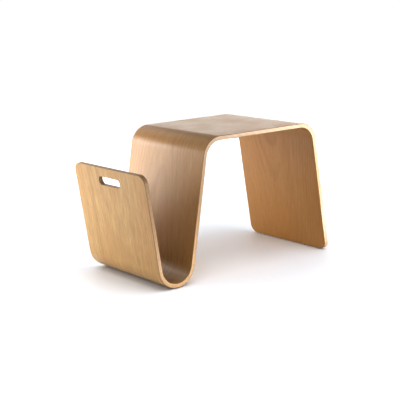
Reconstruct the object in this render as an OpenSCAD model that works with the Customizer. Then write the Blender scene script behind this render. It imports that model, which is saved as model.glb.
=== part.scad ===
// Side table with a magazine pocket, moulded in one piece from a stack of veneers.
// Each veneer of the board is a sub-part of its own, glued to its neighbours over its whole face.
// +X runs along the table, from the pocket to the end leg. +Y runs across it. +Z is up.
// The origin lies on the floor, under the middle of the table's length and width.

/* [Table] */
// Height of the table top above the floor
table_h = 406; // [380:1:450]
// Width of the board, across the table
board_w = 342; // [300:1:420]
// Length of the flat part of the table top
top_len = 310; // [240:1:420]
// Inside radius of all three bends
bend_r = 50; // [40:1:65]
// Radius of the rounded corners at both ends of the board
corner_r = 26; // [10:1:40]

/* [Legs and pocket] */
// Height of the front panel's top edge above the floor
panel_h = 328; // [280:1:350]
// Lean of the front panel from upright, away from the table
panel_lean = 8.5; // [5:0.5:12]
// Lean of the inner leg from upright, towards the table's middle
leg_lean = 10; // [5:0.5:15]
// Lean of the end leg from upright, away from the table's middle
end_lean = 9; // [5:0.5:15]

/* [Hand slot] */
// Length of the hand slot, over its round ends
slot_len = 102; // [80:1:140]
// Height of the hand slot
slot_h = 25; // [20:1:32]
// Distance from the front panel's top edge down to the middle of the slot
slot_drop = 39; // [32:1:60]

/* [Veneers] */
// Thickness of each of the two face veneers
face_t = 0.7; // [0.5:0.1:1]
// Thickness of each of the seven inner veneers
ply_t = 1.6; // [1.4:0.1:1.8]

/* [Floor pads] */
// Thickness of the pads
pad_t = 2; // [1.5:0.5:3]
// Diameter of the two pads under the pocket
pocket_pad_d = 16; // [10:1:20]
// Diameter of the two pads under the end leg
leg_pad_d = 10; // [6:1:11]
// Distance from the board's sides to the middle of each pad
pad_inset = 52; // [50:1:90]

/* [Hidden] */
$fn = 96;

FACE_COLOUR = "#d9b27c";
LONG_COLOUR = "#e6cda0";
CROSS_COLOUR = "#b98a55";
PAD_COLOUR = "#e9e6de";

// The board's layers, from the table's top face down to its underside: name, thickness, colour.
// The grain of the long plies runs along the board, like the faces', and that of the crossbands across it.
FACE = [face_t, FACE_COLOUR];
LONG = [ply_t, LONG_COLOUR];
CROSS = [ply_t, CROSS_COLOUR];
LAYERS = [
    ["top_face_veneer", FACE],
    ["crossband_1", CROSS],
    ["long_ply_1", LONG],
    ["crossband_2", CROSS],
    ["long_ply_2", LONG],
    ["crossband_3", CROSS],
    ["long_ply_3", LONG],
    ["crossband_4", CROSS],
    ["bottom_face_veneer", FACE],
];
SIDES = [["front", -1], ["back", 1]];

// Height of a layer's upper face above the board's underside, and so the board's thickness for layer 0
function height_of(i) = i == len(LAYERS) ? 0 : LAYERS[i][1][0] + height_of(i + 1);
board_t = height_of(0);

// Heights of the bends' centres
low_z = pad_t + board_t + bend_r;
high_z = table_h - board_t - bend_r;

// Lengths of the straight runs. The end leg's is the one on its outer face.
panel_len = (panel_h - low_z + bend_r * sin(panel_lean)) / cos(panel_lean);
leg_len = (high_z - low_z + (2 * bend_r + board_t) * sin(leg_lean)) / cos(leg_lean);
end_len = (high_z - pad_t + (bend_r + board_t) * sin(end_lean)) / cos(end_lean);

// How far the board reaches along the table, from one bend's centre to the next or to the board's end
panel_reach = (bend_r + board_t) * cos(panel_lean) + panel_len * sin(panel_lean);
leg_reach = (2 * bend_r + board_t) * cos(leg_lean) + leg_len * sin(leg_lean);
end_reach = (bend_r + board_t) * cos(end_lean) + end_len * sin(end_lean);
total_len = panel_reach + leg_reach + top_len + end_reach;

// Extra length on a shape that cuts another one
spare = 20;

// The largest angle between two neighbouring points on a bend
bend_step = 4;

// How far a rounded corner's circle reaches past the two edges it runs into, so that they cross cleanly
corner_cross = 0.01;

// The centres of the bends under the pocket, over the inner leg and over the end leg, as [X, Z]
pocket_bend = [panel_reach - total_len / 2, low_z];
left_bend = [pocket_bend.x + leg_reach, high_z];
right_bend = [left_bend.x + top_len, high_z];

// The point at a distance and angle from the origin of the X and Z plane
function polar(radius, angle) = radius * [cos(angle), sin(angle)];

// Points along a bend, with both ends
function arc(centre, radius, from, to) =
    let (steps = ceil(abs(to - from) / bend_step))
    [for (i = [0 : steps]) centre + polar(radius, from + (to - from) * i / steps)];

// Where the end leg's surface at a radius from its bend's centre meets the level it is cut off at
function foot_point(radius) =
    let (length = (high_z + radius * sin(end_lean) - pad_t) / cos(end_lean))
    right_bend + polar(radius, end_lean) + polar(length, end_lean - 90);

// The side view of the surface at a height over the board's underside, from the front panel's top edge
// through the pocket, the inner leg and the table to the end leg's foot
function surface_line(height) =
    let (pocket_r = bend_r + board_t - height, top_r = bend_r + height)
    concat(
        [pocket_bend + polar(pocket_r, 180 + panel_lean) + polar(panel_len, 90 + panel_lean)],
        arc(pocket_bend, pocket_r, 180 + panel_lean, 360 - leg_lean),
        arc(left_bend, top_r, 180 - leg_lean, 90),
        arc(right_bend, top_r, 90, end_lean),
        [foot_point(top_r)]
    );

function reversed(list) = [for (i = [len(list) - 1 : -1 : 0]) list[i]];

// A layer's side view between two surfaces
module profile(low, high) {
    polygon(concat(surface_line(low), reversed(surface_line(high))));
}

// Stands a plane of X and height on its edge, centred on the table's middle line
module upright() {
    rotate([90, 0, 0])
        linear_extrude(board_w, center = true)
            children();
}

// Stands a plane of Y and height on its edge and makes it a plate that reaches from one X to another
module plate(from, to) {
    translate([from, 0, 0])
        rotate([90, 0, 90])
            linear_extrude(to - from)
                children();
}

// What is cut away to round both corners of a board's end. In its plane the end lies on the X axis, and the
// board above it.
module end_waste() {
    inset = corner_r - corner_cross;
    for (side = [0, 1])
        mirror([side, 0])
            difference() {
                translate([board_w / 2 - inset, -spare])
                    square([inset + spare, inset + spare]);
                translate([board_w / 2 - inset, inset])
                    circle(corner_r);
            }
}

// The hand slot's outline, about its middle
module slot_outline() {
    square([slot_len - slot_h, slot_h], center = true);
    for (side = [-1, 1])
        translate([side * (slot_len - slot_h) / 2, 0])
            circle(d = slot_h);
}

// What is cut from the front panel, square to its face: its two upper corners and the hand slot
module panel_waste() {
    translate([pocket_bend.x, 0, pocket_bend.y])
        rotate([0, -panel_lean, 0])
            plate(-bend_r - board_t - spare, -bend_r + spare) {
                translate([0, panel_len])
                    mirror([0, 1])
                        end_waste();
                translate([0, panel_len - slot_drop])
                    slot_outline();
            }
}

// What is cut from the end leg, along the table: its two lower corners
module foot_waste() {
    plate(right_bend.x, total_len)
        translate([0, pad_t])
            end_waste();
}

// One layer of the board
module layer(low, high) {
    difference() {
        upright()
            profile(low, high);
        panel_waste();
        foot_waste();
    }
}

// A pad under the pocket, with its upper face hollowed to fit the bend
module pocket_pad(side) {
    color(PAD_COLOUR)
        translate([pocket_bend.x, side * (board_w / 2 - pad_inset), 0])
            difference() {
                cylinder(d = pocket_pad_d, h = 2 * pad_t);
                translate([0, 0, low_z])
                    rotate([90, 0, 0])
                        cylinder(r = bend_r + board_t, h = 2 * pocket_pad_d, center = true, $fn = 360);
            }
}

// A pad under the middle of the end leg's level foot
module leg_pad(side) {
    foot_x = total_len / 2 - board_t / cos(end_lean) / 2;
    color(PAD_COLOUR)
        translate([foot_x, side * (board_w / 2 - pad_inset), 0])
            cylinder(d = leg_pad_d, h = pad_t);
}

for (i = [0 : len(LAYERS) - 1])
    color(LAYERS[i][1][1])
            layer(height_of(i + 1), height_of(i));

for (side = SIDES) {
    pocket_pad(side[1]);
    leg_pad(side[1]);
}
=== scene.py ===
import math

import bpy
from mathutils import Matrix, Vector


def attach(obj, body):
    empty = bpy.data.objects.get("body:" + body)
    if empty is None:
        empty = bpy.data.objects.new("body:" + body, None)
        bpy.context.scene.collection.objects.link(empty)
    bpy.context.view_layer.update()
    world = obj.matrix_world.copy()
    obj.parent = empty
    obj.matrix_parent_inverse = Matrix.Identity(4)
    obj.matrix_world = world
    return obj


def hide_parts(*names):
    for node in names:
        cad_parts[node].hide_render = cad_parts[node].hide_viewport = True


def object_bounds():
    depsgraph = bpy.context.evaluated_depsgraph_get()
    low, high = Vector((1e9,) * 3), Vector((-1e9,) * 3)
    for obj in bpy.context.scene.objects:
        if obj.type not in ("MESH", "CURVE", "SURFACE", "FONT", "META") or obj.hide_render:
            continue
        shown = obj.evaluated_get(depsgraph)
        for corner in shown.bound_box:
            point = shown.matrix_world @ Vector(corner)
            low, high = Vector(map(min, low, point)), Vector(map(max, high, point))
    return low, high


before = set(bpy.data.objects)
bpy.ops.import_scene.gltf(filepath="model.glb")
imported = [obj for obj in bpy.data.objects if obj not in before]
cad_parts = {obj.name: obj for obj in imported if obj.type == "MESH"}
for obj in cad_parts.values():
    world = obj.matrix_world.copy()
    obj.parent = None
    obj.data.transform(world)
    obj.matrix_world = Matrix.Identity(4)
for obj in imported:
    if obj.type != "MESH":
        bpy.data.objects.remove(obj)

# A side table with a magazine pocket, moulded in one piece from nine veneers, on four floor pads.
# Lengths are in metres and angles in degrees. +X runs along the table from the pocket to the end leg.
# A point of the board is given by its run, the distance along the board from the front panel's top edge,
# its Y across the table, and its height over the board's underside.

CAD_BOX = [list(corner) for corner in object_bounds()]

# ---------------------------------------------------------------- driving dimensions

MM = 0.001
TABLE_H = 406 * MM
BOARD_W = 342 * MM
TOP_LEN = 310 * MM
BEND_R = 50 * MM
CORNER_R = 26 * MM
PANEL_H = 328 * MM
PANEL_LEAN = 8.5
LEG_LEAN = 10
END_LEAN = 9
SLOT_LEN = 102 * MM
SLOT_H = 25 * MM
SLOT_DROP = 39 * MM
FACE_T = 0.7 * MM
PLY_T = 1.6 * MM
PAD_T = 2 * MM
POCKET_PAD_D = 16 * MM
LEG_PAD_D = 10 * MM
PAD_INSET = 52 * MM

# Radius of the board's sanded edges, and of its slot's
EDGE_R = 1.3 * MM
SLOT_EDGE_R = 0.9 * MM
# Angles round a sanded edge, from the face inwards, at which it has a ring of vertices
EDGE_ANGLES = [18 * i for i in range(1, 6)]
# How far the softer crossbands are sanded back from the board's outline
CROSSBAND_SET_BACK = 0.05 * MM

# The layers from the underside up: CAD node, thickness, material slot
LAYERS = [
    ("bottom_face_veneer", FACE_T, "face_veneer"),
    ("crossband_4", PLY_T, "crossband"),
    ("long_ply_3", PLY_T, "long_ply"),
    ("crossband_3", PLY_T, "crossband"),
    ("long_ply_2", PLY_T, "long_ply"),
    ("crossband_2", PLY_T, "crossband"),
    ("long_ply_1", PLY_T, "long_ply"),
    ("crossband_1", PLY_T, "crossband"),
    ("top_face_veneer", FACE_T, "face_veneer"),
]
BOARD_T = sum(layer[1] for layer in LAYERS)

# ---------------------------------------------------------------- the board's side view


def cos(degrees):
    return math.cos(math.radians(degrees))


def sin(degrees):
    return math.sin(math.radians(degrees))


def polar(radius, degrees):
    return Vector((radius * cos(degrees), radius * sin(degrees)))


LOW_Z = PAD_T + BOARD_T + BEND_R
HIGH_Z = TABLE_H - BOARD_T - BEND_R
PANEL_LEN = (PANEL_H - LOW_Z + BEND_R * sin(PANEL_LEAN)) / cos(PANEL_LEAN)
LEG_LEN = (HIGH_Z - LOW_Z + (2 * BEND_R + BOARD_T) * sin(LEG_LEAN)) / cos(LEG_LEAN)
LEG_REACH = (2 * BEND_R + BOARD_T) * cos(LEG_LEAN) + LEG_LEN * sin(LEG_LEAN)

# The bends' centres as (X, Z). The outermost corner of the panel's top edge has the CAD box's lowest X.
PANEL_REACH = (BEND_R + BOARD_T) * cos(PANEL_LEAN) + PANEL_LEN * sin(PANEL_LEAN)
POCKET_BEND = Vector((CAD_BOX[0][0] + PANEL_REACH, LOW_Z))
LEFT_BEND = Vector((POCKET_BEND.x + LEG_REACH, HIGH_Z))
RIGHT_BEND = Vector((LEFT_BEND.x + TOP_LEN, HIGH_Z))


def bend_ends(height):
    """The centre, radius and first and last angle of each bend of the surface at that height."""
    pocket_r = BEND_R + BOARD_T - height
    top_r = BEND_R + height
    return [
        (POCKET_BEND, pocket_r, 180 + PANEL_LEAN, 360 - LEG_LEAN),
        (LEFT_BEND, top_r, 180 - LEG_LEAN, 90),
        (RIGHT_BEND, top_r, 90, END_LEAN),
    ]


def foot_point(height):
    """Where the surface at that height meets the level that the end leg is cut off at."""
    start = RIGHT_BEND + polar(BEND_R + height, END_LEAN)
    return start + polar((start.y - PAD_T) / cos(END_LEAN), END_LEAN - 90)


def straight_ends(height):
    """The first and last point of each straight run of the surface at that height."""
    ends = [(c + polar(r, a), c + polar(r, b)) for c, r, a, b in bend_ends(height)]
    first = ends[0][0] + polar(PANEL_LEN, 90 + PANEL_LEAN)
    return [
        (first, ends[0][0]),
        (ends[0][1], ends[1][0]),
        (ends[1][1], ends[2][0]),
        (ends[2][1], foot_point(height)),
    ]


def lengths():
    """The lengths of the board's seven sections in turn, halfway through its thickness."""
    straights = [(b - a).length for a, b in straight_ends(BOARD_T / 2)]
    bends = [r * math.radians(abs(b - a)) for _, r, a, b in bend_ends(BOARD_T / 2)]
    return [straights[0], bends[0], straights[1], bends[1], straights[2], bends[2], straights[3]]


LENGTHS = lengths()
LAST = len(LENGTHS) - 1


def section_point(section, share, height):
    """(X, Z) of a point at a share of a section's length. Even sections are straight, odd ones bends."""
    if section % 2 == 0:
        start, end = straight_ends(height)[section // 2]
        return start.lerp(end, share)
    centre, radius, first, last = bend_ends(height)[section // 2]
    return centre + polar(radius, first + (last - first) * share)


# ---------------------------------------------------------------- the board's outline

# Rows of vertices across the board. A corner row is given by its angle round the rounded corner, and any
# other row by its section and its share of that section's length.
CORNER_ANGLES = [11.25 * i for i in range(9)]
# How far down the board from the hand slot's middle the rows beside it lie
SLOT_ROWS = [-8.5 * MM, -4.2 * MM, 0, 4.2 * MM, 8.5 * MM, 13 * MM, 18.1 * MM]
# The slot's patch, a block of the grid that the slot is cut from, reaches from the last corner row but one
# to the last row beside the slot.
PATCH_FIRST = len(CORNER_ANGLES) - 2
PATCH_LAST = len(CORNER_ANGLES) + len(SLOT_ROWS) - 1
# Steps from there to the pocket's bend, in each section after the panel, and in the end leg. A bend's steps
# are 3 degrees or less.
PANEL_STEPS = 6
SECTION_STEPS = {1: 54, 2: 8, 3: 30, 4: 8, 5: 30}
END_STEPS = 9


def make_rows():
    """The rows of the board's grid, from the panel's top edge to the foot."""
    rows = [("start", angle) for angle in CORNER_ANGLES]
    rows += [("section", 0, (SLOT_DROP + offset) / LENGTHS[0]) for offset in SLOT_ROWS]
    past_slot = rows[-1][2]
    for i in range(1, PANEL_STEPS + 1):
        rows.append(("section", 0, past_slot + (1 - past_slot) * i / PANEL_STEPS))
    for section, steps in SECTION_STEPS.items():
        rows += [("section", section, i / steps) for i in range(1, steps + 1)]
    rows += [("section", LAST, i / END_STEPS) for i in range(1, END_STEPS)]
    rows += [("foot", angle) for angle in reversed(CORNER_ANGLES)]
    return rows


ROWS = make_rows()

# Columns of vertices along the board, from its middle to one side: over half of the slot's straight middle,
# over the rest of the patch, over the plain board, and then at shares of what is left up to the edge
SLOT_SPINE = (SLOT_LEN - SLOT_H) / 2
PATCH_COLUMNS = [SLOT_SPINE * i / 4 for i in range(5)] + [SLOT_SPINE + i * 4 * MM for i in range(1, 6)]
INNER_COLUMNS = PATCH_COLUMNS + [85 * MM, 112 * MM, 138 * MM]
OUTER_SHARES = [0.4, 0.8, 1]
PATCH_SIDE = len(PATCH_COLUMNS) - 1


def row_place(row, height, inset):
    """(X, Z) of a row at that height, its run, and half of the board's width there, less the inset."""
    if row[0] == "section":
        _, section, share = row
        run = sum(LENGTHS[:section]) + share * LENGTHS[section]
        return section_point(section, share, height), run, BOARD_W / 2 - inset
    end_name, angle = row
    radius = CORNER_R - inset
    from_end = CORNER_R - radius * cos(angle)
    half = BOARD_W / 2 - CORNER_R + radius * sin(angle)
    if end_name == "start":
        start, end = straight_ends(height)[0]
        return start.lerp(end, from_end / LENGTHS[0]), from_end, half
    start, end = straight_ends(height)[3]
    along = from_end / cos(END_LEAN)
    return end + (start - end).normalized() * along, sum(LENGTHS) - along, half


def columns(half):
    """Y of every column of a row whose half width is given."""
    inner = INNER_COLUMNS[-1]
    side = INNER_COLUMNS + [inner + (half - inner) * share for share in OUTER_SHARES]
    return [-y for y in reversed(side[1:])] + side


def eased(height, radius):
    """How far a rounded edge of that radius lies inside the outline, at a height over the underside."""
    depth = min(height, BOARD_T - height)
    if depth >= radius:
        return 0
    return radius - math.sqrt(radius ** 2 - (radius - depth) ** 2)


def levels(low, high):
    """The heights at which a layer's edge has a ring of vertices."""
    depths = [EDGE_R * (1 - cos(angle)) for angle in EDGE_ANGLES]
    between = [h for depth in depths for h in (depth, BOARD_T - depth) if low < h < high]
    return [low] + sorted(between) + [high]


def slot_point(y, offset, grow):
    """The point of the slot's outline that faces a point of its patch, as Y and offset from its middle."""
    nearest = max(-SLOT_SPINE, min(SLOT_SPINE, y))
    facing = Vector((y - nearest, offset)).normalized() * (SLOT_H / 2 + grow)
    return nearest + facing.x, facing.y


# ---------------------------------------------------------------- meshes


class Shell:
    """A mesh in the making. Each vertex keeps its place on the board, which the grain is drawn from."""

    def __init__(self):
        self.points = []
        self.places = []
        self.faces = []

    def add(self, flat, run, y, height):
        """Adds a vertex at (X, Z) and Y, and returns its number."""
        self.points.append((flat.x, y, flat.y))
        self.places.append((run, y, height))
        return len(self.points) - 1

    def bridge(self, ring, other):
        """Quads between two closed rings of as many vertices."""
        for i in range(len(ring)):
            j = (i + 1) % len(ring)
            self.faces.append((ring[i], ring[j], other[j], other[i]))

    def object(self, name, material):
        """The mesh as an object, with the vertices' places in its two UV maps."""
        mesh = bpy.data.meshes.new(name)
        mesh.from_pydata(self.points, [], self.faces)
        along = mesh.uv_layers.new(name="along")
        depth = mesh.uv_layers.new(name="depth")
        for loop in mesh.loops:
            run, y, height = self.places[loop.vertex_index]
            along.data[loop.index].uv = (run, y)
            depth.data[loop.index].uv = (height, 0)
        mesh.materials.append(material)
        return finished(mesh, name)


def finished(mesh, name, sharp=32):
    """The mesh as an object, shaded smooth but for its edges sharper than that angle."""
    mesh.validate()
    mesh.shade_smooth()
    mesh.set_sharp_from_angle(angle=math.radians(sharp))
    piece = bpy.data.objects.new(name, mesh)
    bpy.context.scene.collection.objects.link(piece)
    weighted = piece.modifiers.new("flat faces stay flat", "WEIGHTED_NORMAL")
    weighted.keep_sharp = True
    return piece


def grid(shell, height, inset):
    """A layer's flat side at that height. Returns its rows of vertices."""
    rows = []
    for row in ROWS:
        flat, run, half = row_place(row, height, inset)
        rows.append([shell.add(flat, run, y, height) for y in columns(half)])
    return rows


def outline(rows):
    """The vertices round a grid."""
    start = rows[0]
    foot = list(reversed(rows[-1]))
    right = [row[-1] for row in rows[1:-1]]
    left = [row[0] for row in reversed(rows[1:-1])]
    return start + right + foot + left


def patch_outline(rows):
    """The vertices round the slot's patch."""
    middle = len(rows[0]) // 2
    first, last = middle - PATCH_SIDE, middle + PATCH_SIDE
    top = rows[PATCH_FIRST][first:last + 1]
    bottom = list(reversed(rows[PATCH_LAST][first:last + 1]))
    right = [row[last] for row in rows[PATCH_FIRST + 1:PATCH_LAST]]
    left = [row[first] for row in reversed(rows[PATCH_FIRST + 1:PATCH_LAST])]
    return top + right + bottom + left


def fill(shell, rows, flip):
    """Quads over a grid, but for the slot's patch."""
    middle = len(rows[0]) // 2
    for i in range(len(rows) - 1):
        for j in range(len(rows[0]) - 1):
            in_patch = PATCH_FIRST <= i < PATCH_LAST and abs(j + 0.5 - middle) < PATCH_SIDE
            if in_patch:
                continue
            quad = (rows[i][j], rows[i + 1][j], rows[i + 1][j + 1], rows[i][j + 1])
            shell.faces.append(tuple(reversed(quad)) if flip else quad)


def slot_ring(shell, places, height):
    """The slot's outline at that height, from the places of the vertices round its patch."""
    ring = []
    start, end = straight_ends(height)[0]
    for run, y, _ in places:
        grown = eased(height, SLOT_EDGE_R)
        across, offset = slot_point(y, run - SLOT_DROP, grown)
        slot_run = SLOT_DROP + offset
        flat = start.lerp(end, slot_run / LENGTHS[0])
        ring.append(shell.add(flat, slot_run, across, height))
    return ring


def edge_ring(shell, height, inset):
    """The board's outline at that height, in the order that outline() gives it."""
    places = [row_place(row, height, inset) for row in ROWS]

    def corner(place, y):
        return shell.add(place[0], place[1], y, height)

    ring = [corner(places[0], y) for y in columns(places[0][2])]
    ring += [corner(place, place[2]) for place in places[1:-1]]
    ring += [corner(places[-1], y) for y in reversed(columns(places[-1][2]))]
    ring += [corner(place, -place[2]) for place in reversed(places[1:-1])]
    return ring


def make_layer(name, low, high, set_back, material):
    """One veneer of the board as a closed shell."""
    shell = Shell()
    heights = levels(low, high)
    insets = [eased(height, EDGE_R) + set_back for height in heights]
    under = grid(shell, low, insets[0])
    over = grid(shell, high, insets[-1])
    fill(shell, under, flip=False)
    fill(shell, over, flip=True)
    patch_places = [shell.places[v] for v in patch_outline(under)]
    edges = [outline(under)]
    slots = [slot_ring(shell, patch_places, low)]
    for height, inset in zip(heights[1:-1], insets[1:-1]):
        edges.append(edge_ring(shell, height, inset))
        slots.append(slot_ring(shell, patch_places, height))
    edges.append(outline(over))
    slots.append(slot_ring(shell, patch_places, high))
    for lower, upper in zip(edges, edges[1:]):
        shell.bridge(lower, upper)
    for lower, upper in zip(slots, slots[1:]):
        shell.bridge(upper, lower)
    shell.bridge(slots[0], patch_outline(under))
    shell.bridge(patch_outline(over), slots[-1])
    return shell.object(name, material)


# A pad's profile from its lower face, which is a little hollow in the middle, to its upper face: shares of
# its radius, and of the way from the floor up to the upper face
PAD_PROFILE = [(0.3, 0.06), (0.42, 0), (0.86, 0), (0.95, 0.05), (1, 0.2), (1, 0.75), (0.985, 0.93),
               (0.95, 1), (0.5, 1)]
PAD_SEGMENTS = 48


def make_pad(name, centre_x, centre_y, diameter, over, material):
    """A floor pad as rings of vertices, closed by a face at both ends.

    over(x) is the height of its upper face.
    """
    points = []
    for share, rise in PAD_PROFILE:
        for i in range(PAD_SEGMENTS):
            spot = polar(diameter / 2 * share, 360 * i / PAD_SEGMENTS)
            x = centre_x + spot.x
            points.append((x, centre_y + spot.y, over(x) * rise))
    faces = []
    last_ring = (len(PAD_PROFILE) - 1) * PAD_SEGMENTS
    for start in range(0, last_ring, PAD_SEGMENTS):
        for i in range(PAD_SEGMENTS):
            a = start + i
            b = start + (i + 1) % PAD_SEGMENTS
            faces.append((a, b, b + PAD_SEGMENTS, a + PAD_SEGMENTS))
    faces.append(tuple(reversed(range(PAD_SEGMENTS))))
    faces.append(tuple(range(last_ring, last_ring + PAD_SEGMENTS)))
    mesh = bpy.data.meshes.new(name)
    mesh.from_pydata(points, [], faces)
    mesh.materials.append(material)
    return finished(mesh, name, sharp=60)


# ---------------------------------------------------------------- node helpers


def linear(code):
    """A colour written as six hexadecimal digits of sRGB, as linear values."""
    values = [int(code[i:i + 2], 16) / 255 for i in (0, 2, 4)]
    return tuple(v / 12.92 if v <= 0.04045 else ((v + 0.055) / 1.055) ** 2.4 for v in values) + (1,)


def add(tree, kind, inputs=None, **settings):
    """A new shader node with its settings and its inputs: plain values, or other nodes' outputs."""
    made = tree.nodes.new("ShaderNode" + kind)
    for key, value in settings.items():
        setattr(made, key, value)
    for key, value in (inputs or {}).items():
        if isinstance(value, bpy.types.NodeSocket):
            tree.links.new(value, made.inputs[key])
        else:
            made.inputs[key].default_value = value
    return made


def maths(tree, operation, *values):
    """The outcome of a Math node."""
    return add(tree, "Math", dict(enumerate(values)), operation=operation).outputs[0]


def spread(tree, value, low, high, to_low=0.0, to_high=1.0):
    """Maps low..high to to_low..to_high, smoothly and with both ends clamped."""
    inputs = {"Value": value, "From Min": low, "From Max": high, "To Min": to_low, "To Max": to_high}
    return add(tree, "MapRange", inputs, interpolation_type="SMOOTHSTEP").outputs[0]


def mixed(tree, factor, first, second):
    """The first colour turned into the second by the factor."""
    return add(tree, "Mix", {0: factor, 6: first, 7: second}, data_type="RGBA").outputs[2]


def ramp(tree, value, stops):
    """A colour ramp. Each stop is a value and a colour's hexadecimal digits."""
    made = add(tree, "ValToRGB", {"Fac": value})
    elements = made.color_ramp.elements
    while len(elements) < len(stops):
        elements.new(0.5)
    for element, (place, code) in zip(elements, stops):
        element.position = place
        element.color = linear(code)
    return made.outputs[0]


def board_place(tree):
    """The run, Y and height that a vertex keeps, in metres."""
    along = add(tree, "UVMap", uv_map="along").outputs[0]
    depth = add(tree, "UVMap", uv_map="depth").outputs[0]
    run_y = add(tree, "SeparateXYZ", {0: along})
    height = add(tree, "SeparateXYZ", {0: depth})
    return run_y.outputs[0], run_y.outputs[1], height.outputs[0]


def grain(tree, place, scale, detail=2.0, roughness=0.5, distortion=0.0, seed=0.0):
    """Noise stretched by a scale for each of run, Y and height, in cycles a metre."""
    scaled = [maths(tree, "MULTIPLY", value, factor) for value, factor in zip(place, scale)]
    vector = add(tree, "CombineXYZ", dict(enumerate(scaled))).outputs[0]
    inputs = {"Vector": vector, "W": seed, "Scale": 1.0, "Detail": detail, "Roughness": roughness,
              "Distortion": distortion}
    return add(tree, "TexNoise", inputs, noise_dimensions="4D").outputs[0]


def new_material(name):
    """A node material and its surface shader."""
    material = bpy.data.materials.new(name)
    material.use_nodes = True
    tree = material.node_tree
    tree.nodes.clear()
    shader = add(tree, "BsdfPrincipled")
    output = add(tree, "OutputMaterial")
    tree.links.new(shader.outputs[0], output.inputs["Surface"])
    return material, tree, shader


def connect(tree, shader, sockets):
    """Sets a shader's inputs to plain values or to other nodes' outputs."""
    for key, value in sockets.items():
        if isinstance(value, bpy.types.NodeSocket):
            tree.links.new(value, shader.inputs[key])
        else:
            shader.inputs[key].default_value = value


def bumped(tree, height, distance, strength):
    """A normal bent by a height of 0 to 1, which stands for that distance in metres."""
    inputs = {"Height": height, "Distance": distance, "Strength": strength}
    return add(tree, "Bump", inputs).outputs[0]


# ---------------------------------------------------------------- materials


def cathedral(tree, place, middle_y, rings, bow, wobble, seed):
    """The arched figure of a flat-cut veneer: rings cut through, so that they open along the run.

    Rings is their number in a metre of run, bow how fast they fall back to either side of middle_y, and
    wobble by how many rings they stray. The outcome climbs from 0 to 1 over each ring.
    """
    run, y, _ = place
    drift = grain(tree, place, (2.2, 5, 0), detail=2, seed=seed)
    strayed = maths(tree, "MULTIPLY", maths(tree, "SUBTRACT", drift, 0.5), wobble)
    off = maths(tree, "SUBTRACT", y, middle_y)
    bowed = maths(tree, "MULTIPLY", maths(tree, "MULTIPLY", off, off), bow)
    phase = maths(tree, "ADD", maths(tree, "ADD", maths(tree, "MULTIPLY", run, rings), bowed), strayed)
    return maths(tree, "FRACT", phase)


# The runs over which the face veneer turns richer, from the pocket's bend to the inner leg, and golden,
# from the table top to the end leg. This is partly the veneer's tone and partly painted light: the front
# panel is left paler for the sheen it catches, and the legs are painted darker for the shade under the
# table.
RICHER_AND_SHADE_RUN = (0.3, 0.6)
GOLDEN_AND_SHADE_RUN = (0.9, 1.2)


def face_material():
    """The faces' veneer: honey-coloured, open-grained, under a satin lacquer."""
    material, tree, shader = new_material("face_veneer")
    place = board_place(tree)
    clouds = grain(tree, place, (3.5, 9, 0), detail=3, seed=1)
    bands = grain(tree, place, (1.3, 46, 0), detail=4, roughness=0.6, distortion=0.1, seed=4)
    streaks = grain(tree, place, (22, 280, 0), detail=4, roughness=0.6, seed=7)
    fibres = grain(tree, place, (45, 1900, 0), detail=2, roughness=0.6, seed=11)
    pores = spread(tree, grain(tree, place, (95, 2600, 0), detail=1, seed=15), 0.61, 0.7)
    rings = cathedral(tree, place, middle_y=0.012, rings=7.5, bow=330, wobble=3.4, seed=21)
    ring_line = spread(tree, rings, 0.55, 0.98)
    ring_back = spread(tree, rings, 0.0, 0.12, 1.0, 0.0)
    figure = maths(tree, "MAXIMUM", ring_line, ring_back)

    tone = maths(tree, "ADD", maths(tree, "MULTIPLY", bands, 0.35), maths(tree, "MULTIPLY", streaks, 0.65))
    base = ramp(tree, tone, [
        (0.30, "906d3d"),
        (0.45, "a68350"),
        (0.57, "b59460"),
        (0.74, "c4a574"),
    ])
    reddish = mixed(tree, spread(tree, clouds, 0.35, 0.7, 0.0, 0.35), base, linear("a8763c"))
    # Painted light in part: richer, darker tones along the run leave the front panel paler for its sheen
    # and darken the legs for their shade
    richer_and_shade = mixed(tree, spread(tree, place[0], *RICHER_AND_SHADE_RUN, 0.0, 0.48), reddish, linear("98661c"))
    golden_and_shade = mixed(tree, spread(tree, place[0], *GOLDEN_AND_SHADE_RUN, 0.0, 0.2), richer_and_shade, linear("8f5a12"))
    patches = spread(tree, grain(tree, place, (2.6, 4, 0), detail=1, seed=41), 0.42, 0.62, 0.07, 0.34)
    figured = mixed(tree, maths(tree, "MULTIPLY", figure, patches), golden_and_shade, linear("7f5423"))
    fibred = mixed(tree, spread(tree, fibres, 0.42, 0.75, 0.0, 0.2), figured, linear("8b602c"))
    pored = mixed(tree, maths(tree, "MULTIPLY", pores, 0.4), fibred, linear("664119"))

    raised = maths(tree, "MULTIPLY", fibres, 0.25)
    relief = maths(tree, "SUBTRACT", raised, maths(tree, "MULTIPLY", pores, 0.8))
    normal = bumped(tree, relief, 0.00006, 0.6)
    wear = grain(tree, place, (14, 17, 0), detail=3, seed=31)
    worn = spread(tree, wear, 0.35, 0.7, 0.36, 0.45)
    rough = maths(tree, "ADD", worn, maths(tree, "MULTIPLY", pores, 0.12))
    connect(tree, shader, {
        "Base Color": pored,
        "Roughness": rough,
        "Normal": normal,
        "Coat Weight": 0.45,
        "Coat Roughness": 0.34,
        "Specular IOR Level": 0.4,
    })
    return material


def glue_lines(tree, height):
    """1 on the dark glue lines at both sides of each inner ply, fading over the ply's outer 7%."""
    from_face = maths(tree, "SUBTRACT", height, FACE_T)
    turn = maths(tree, "FRACT", maths(tree, "DIVIDE", from_face, PLY_T))
    to_middle = maths(tree, "ABSOLUTE", maths(tree, "SUBTRACT", turn, 0.5))
    return spread(tree, to_middle, 0.43, 0.5)


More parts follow.
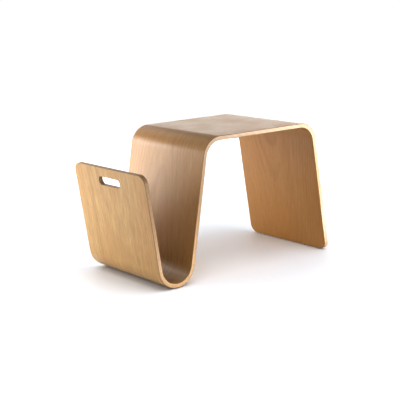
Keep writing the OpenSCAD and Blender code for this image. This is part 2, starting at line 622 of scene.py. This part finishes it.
def long_ply_material():
    """A ply whose grain runs along the board: pale, with long streaks on the board's sides."""
    material, tree, shader = new_material("long_ply")
    place = board_place(tree)
    streaks = grain(tree, place, (7, 500, 900), detail=4, roughness=0.6, seed=2)
    clouds = grain(tree, place, (9, 9, 250), detail=2, seed=5)
    fibres = grain(tree, place, (60, 2500, 2500), detail=2, seed=9)
    base = ramp(tree, streaks, [
        (0.28, "a88a62"),
        (0.5, "c2a67f"),
        (0.72, "d2bd99"),
    ])
    clouded = mixed(tree, spread(tree, clouds, 0.35, 0.7, 0.0, 0.3), base, linear("b08a62"))
    fibred = mixed(tree, spread(tree, fibres, 0.5, 0.75, 0.0, 0.35), clouded, linear("927150"))
    glued = mixed(tree, maths(tree, "MULTIPLY", glue_lines(tree, place[2]), 0.75), fibred, linear("5c3a20"))
    connect(tree, shader, {
        "Base Color": glued,
        "Roughness": spread(tree, fibres, 0.3, 0.8, 0.42, 0.56),
        "Normal": bumped(tree, fibres, 0.00008, 0.5),
        "Coat Weight": 0.15,
        "Coat Roughness": 0.3,
    })
    return material


def crossband_material():
    """A ply whose grain runs across the board: the board's sides show its darker, open end grain."""
    material, tree, shader = new_material("crossband")
    place = board_place(tree)
    clouds = grain(tree, place, (16, 4, 200), detail=3, seed=3)
    cells = grain(tree, place, (1500, 40, 1800), detail=2, roughness=0.6, seed=6)
    pores = spread(tree, grain(tree, place, (900, 30, 900), detail=1, seed=8), 0.6, 0.7)
    base = ramp(tree, cells, [
        (0.3, "6e4e31"),
        (0.52, "876440"),
        (0.74, "9c7852"),
    ])
    clouded = mixed(tree, spread(tree, clouds, 0.35, 0.7, 0.0, 0.45), base, linear("7a583a"))
    pored = mixed(tree, maths(tree, "MULTIPLY", pores, 0.55), clouded, linear("5c4128"))
    glued = mixed(tree, maths(tree, "MULTIPLY", glue_lines(tree, place[2]), 0.75), pored, linear("4a2d17"))
    connect(tree, shader, {
        "Base Color": glued,
        "Roughness": spread(tree, cells, 0.3, 0.8, 0.5, 0.66),
        "Normal": bumped(tree, maths(tree, "SUBTRACT", cells, pores), 0.0001, 0.6),
        "Coat Weight": 0.1,
        "Coat Roughness": 0.35,
    })
    return material


def pad_material():
    """The floor pads: milky soft plastic, unevenly dulled."""
    material, tree, shader = new_material("floor_pad")
    place = add(tree, "TexCoord").outputs["Object"]
    mottled = add(tree, "TexNoise", {"Vector": place, "Scale": 420.0, "Detail": 3.0}).outputs[0]
    scuffs = add(tree, "TexNoise", {"Vector": place, "Scale": 1800.0, "Detail": 2.0}).outputs[0]
    colour = mixed(tree, spread(tree, mottled, 0.35, 0.7), linear("e4e1d8"), linear("cfcabd"))
    connect(tree, shader, {
        "Base Color": colour,
        "Roughness": spread(tree, scuffs, 0.3, 0.75, 0.35, 0.6),
        "Normal": bumped(tree, scuffs, 0.00004, 0.5),
        "Subsurface Weight": 0.2,
        "Subsurface Radius": (0.002, 0.002, 0.0018),
    })
    return material


# ---------------------------------------------------------------- the object


def placed(piece, node):
    """Puts a piece in its CAD node's place."""
    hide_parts(node)
    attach(piece, "root")


def make_board():
    """The nine layers, from the underside up."""
    materials = {
        "face_veneer": face_material(),
        "long_ply": long_ply_material(),
        "crossband": crossband_material(),
    }
    pieces = []
    low = 0
    for node, thickness, slot in LAYERS:
        set_back = CROSSBAND_SET_BACK if slot == "crossband" else 0
        piece = make_layer(node + "_grained", low, low + thickness, set_back, materials[slot])
        placed(piece, node)
        pieces.append(piece)
        low += thickness
    return pieces


def bend_underside(x):
    """The height of the pocket bend's outside at X."""
    return LOW_Z - math.sqrt((BEND_R + BOARD_T) ** 2 - (x - POCKET_BEND.x) ** 2)


def foot_underside(x):
    """The height of the end leg's foot, which is the same at every X."""
    return PAD_T


def make_pads():
    """Two pads under the pocket's bend and two under the end leg."""
    material = pad_material()
    foot_x = (foot_point(0).x + foot_point(BOARD_T).x) / 2
    kinds = [
        ("pocket_pad", POCKET_BEND.x, POCKET_PAD_D, bend_underside),
        ("leg_pad", foot_x, LEG_PAD_D, foot_underside),
    ]
    pads = []
    for side, sign in (("front", -1), ("back", 1)):
        y = sign * (BOARD_W / 2 - PAD_INSET)
        for kind, x, diameter, over in kinds:
            node = kind + "_" + side
            pad = make_pad(node + "_moulded", x, y, diameter, over, material)
            placed(pad, node)
            pads.append(pad)
    return pads


# ---------------------------------------------------------------- camera, floor and light

# The camera that was fitted to the photograph. The azimuth is from the table's front, positive towards +X.
CAMERA_AZIMUTH = -38.699
CAMERA_ELEVATION = 12.134
CAMERA_ROLL = -1.479
CAMERA_TARGET = Vector((-0.02157, 0, 0.18877))
CAMERA_DISTANCE = 3.05277
SENSOR_W = 36
LENS = 92.434

# Every light is turned to this point, halfway up the table
LIGHTS_AIM = Vector((0, 0, 0.2))

# The strength of the studio's walls as a light, and as the camera sees them
WALLS_LIGHT = 0.53
WALLS_SEEN = 1.05

# The floor's radius, the distance from which it glows, and how strongly its rim does
FLOOR_R = 2.4
GLOW_FROM = 0.6
GLOW = 0.6


def turned_basis(azimuth, elevation, roll):
    """The camera's right, up and backward axes."""
    back = Vector((sin(azimuth) * cos(elevation), -cos(azimuth) * cos(elevation), sin(elevation)))
    level = Vector((cos(azimuth), sin(azimuth), 0))
    upright = back.cross(level)
    right = level * cos(roll) + upright * sin(roll)
    up = upright * cos(roll) - level * sin(roll)
    return right, up, back


def make_camera():
    right, up, back = turned_basis(CAMERA_AZIMUTH, CAMERA_ELEVATION, CAMERA_ROLL)
    data = bpy.data.cameras.new("camera")
    data.sensor_width = SENSOR_W
    data.lens = LENS
    data.clip_end = 200
    camera = bpy.data.objects.new("camera", data)
    bpy.context.scene.collection.objects.link(camera)
    turn = Matrix((right, up, back)).transposed().to_4x4()
    camera.matrix_world = Matrix.Translation(CAMERA_TARGET + back * CAMERA_DISTANCE) @ turn
    bpy.context.scene.camera = camera


def floor_material():
    """White, a little cool, and glowing towards its rim, so that it runs into the white walls."""
    material, tree, shader = new_material("studio_floor")
    place = add(tree, "TexCoord").outputs["Object"]
    faint = add(tree, "TexNoise", {"Vector": place, "Scale": 2.0, "Detail": 2.0}).outputs[0]
    from_middle = add(tree, "VectorMath", {0: place}, operation="LENGTH").outputs["Value"]
    connect(tree, shader, {
        "Base Color": mixed(tree, faint, (0.84, 0.87, 0.92, 1), (0.87, 0.9, 0.95, 1)),
        "Roughness": 0.6,
        "Specular IOR Level": 0.25,
        "Emission Color": (1, 1, 1, 1),
        "Emission Strength": spread(tree, from_middle, GLOW_FROM, FLOOR_R, 0.0, GLOW),
    })
    return material


def make_floor():
    """A round floor. The studio's white walls show beyond it."""
    segments = 96
    mesh = bpy.data.meshes.new("floor")
    rim = [polar(FLOOR_R, 360 * i / segments) for i in range(segments)]
    mesh.from_pydata([(spot.x, spot.y, 0) for spot in rim], [], [tuple(range(segments))])
    mesh.materials.append(floor_material())
    floor = bpy.data.objects.new("floor", mesh)
    bpy.context.scene.collection.objects.link(floor)
    return floor


def collection(name, objects):
    """A collection that a light can be limited to."""
    made = bpy.data.collections.new(name)
    for item in objects:
        made.objects.link(item)
    return made


def soft_box(name, place, width, height, power, only=None, glossy=True, beam=180):
    """A soft rectangular light of that many watts, turned to the object. The camera doesn't see it.

    Where only is given, the light falls on that collection's objects alone, though every object shades it.
    Where glossy is off, it gives no highlights. The beam is the angle that it spreads over.
    """
    data = bpy.data.lights.new(name, "AREA")
    data.shape = "RECTANGLE"
    data.size = width
    data.size_y = height
    data.energy = power
    data.spread = math.radians(beam)
    light = bpy.data.objects.new(name, data)
    bpy.context.scene.collection.objects.link(light)
    light.location = place
    light.rotation_euler = (LIGHTS_AIM - Vector(place)).to_track_quat("-Z", "Y").to_euler()
    light.visible_camera = False
    light.visible_glossy = glossy
    if only:
        light.light_linking.receiver_collection = only


def make_world():
    """A dim studio, whose walls are plain white where the camera sees them."""
    world = bpy.data.worlds.new("studio")
    world.use_nodes = True
    tree = world.node_tree
    tree.nodes.clear()
    walls = add(tree, "Background", {"Color": (1, 1, 1, 1), "Strength": WALLS_LIGHT}).outputs[0]
    white = add(tree, "Background", {"Color": (1, 1, 1, 1), "Strength": WALLS_SEEN}).outputs[0]
    seen = add(tree, "LightPath").outputs["Is Camera Ray"]
    shown = add(tree, "MixShader", {0: seen, 1: walls, 2: white}).outputs[0]
    output = add(tree, "OutputWorld")
    tree.links.new(shown, output.inputs["Surface"])
    bpy.context.scene.world = world


def make_lights(floor, table, faces, edges):
    """The studio's lights. Those of the table, its faces, its edges or the floor alone say so."""
    soft_box("wall_behind", (2.1, 2.1, 0.5), 2.8, 1.2, 21)
    soft_box("near_back_left", (-0.3, 0.42, 0.35), 0.3, 0.3, 0.29, only=table, beam=70)
    soft_box("near_left", (-0.7, 0.5, 0.14), 0.3, 0.3, 2.7, only=table, glossy=False)
    soft_box("left", (-1.5, 0.45, 0.6), 0.8, 0.8, 5.8)
    soft_box("back", (-0.3, 1.6, 0.55), 2.4, 1.0, 9)
    # In the same place again, because the table needs twice the light from there that the floor does
    soft_box("back_for_the_table", (-0.3, 1.6, 0.55), 2.4, 1.0, 9.5, only=table)
    soft_box("over_the_bend", (-0.05, 0.55, 0.72), 0.3, 0.3, 0.25, only=table)
    soft_box("under_the_top", (0.14, 0.4, 0.15), 0.2, 0.2, 0.85, only=table, glossy=False)
    soft_box("front_right", (1.2, -0.6, 0.7), 0.5, 0.8, 21, only=faces)
    soft_box("upper_edges", (0.36, -0.55, 0.32), 0.56, 0.08, 4.3, only=edges)
    soft_box("end_edges", (0.54, -0.4, 0.03), 0.1, 0.06, 1.15, only=edges)
    soft_box("lower_edges", (-0.26, -0.33, 0.03), 0.1, 0.05, 0.42, only=edges)
    soft_box("over_the_floor", (-0.2, -0.9, 2.4), 1.6, 1.6, 31, only=floor)
    soft_box("all_over_the_floor", (0, 0.2, 2.6), 3.5, 3.5, 21, only=floor)
    soft_box("low_over_the_floor", (0.3, -2.2, 1.3), 1, 1, 7, only=floor)


make_camera()
make_world()
board = make_board()
pads = make_pads()
floor = make_floor()
faces = [piece for piece in board if "face_veneer" in piece.name]
plies = [piece for piece in board if piece not in faces]
make_lights(
    collection("floor_only", [floor]),
    collection("table_only", board + pads),
    collection("faces_only", faces),
    collection("edges_only", plies),
)

# This view transform and gamma give the photograph's contrast.
bpy.context.scene.view_settings.view_transform = "Standard"
bpy.context.scene.view_settings.gamma = 0.8
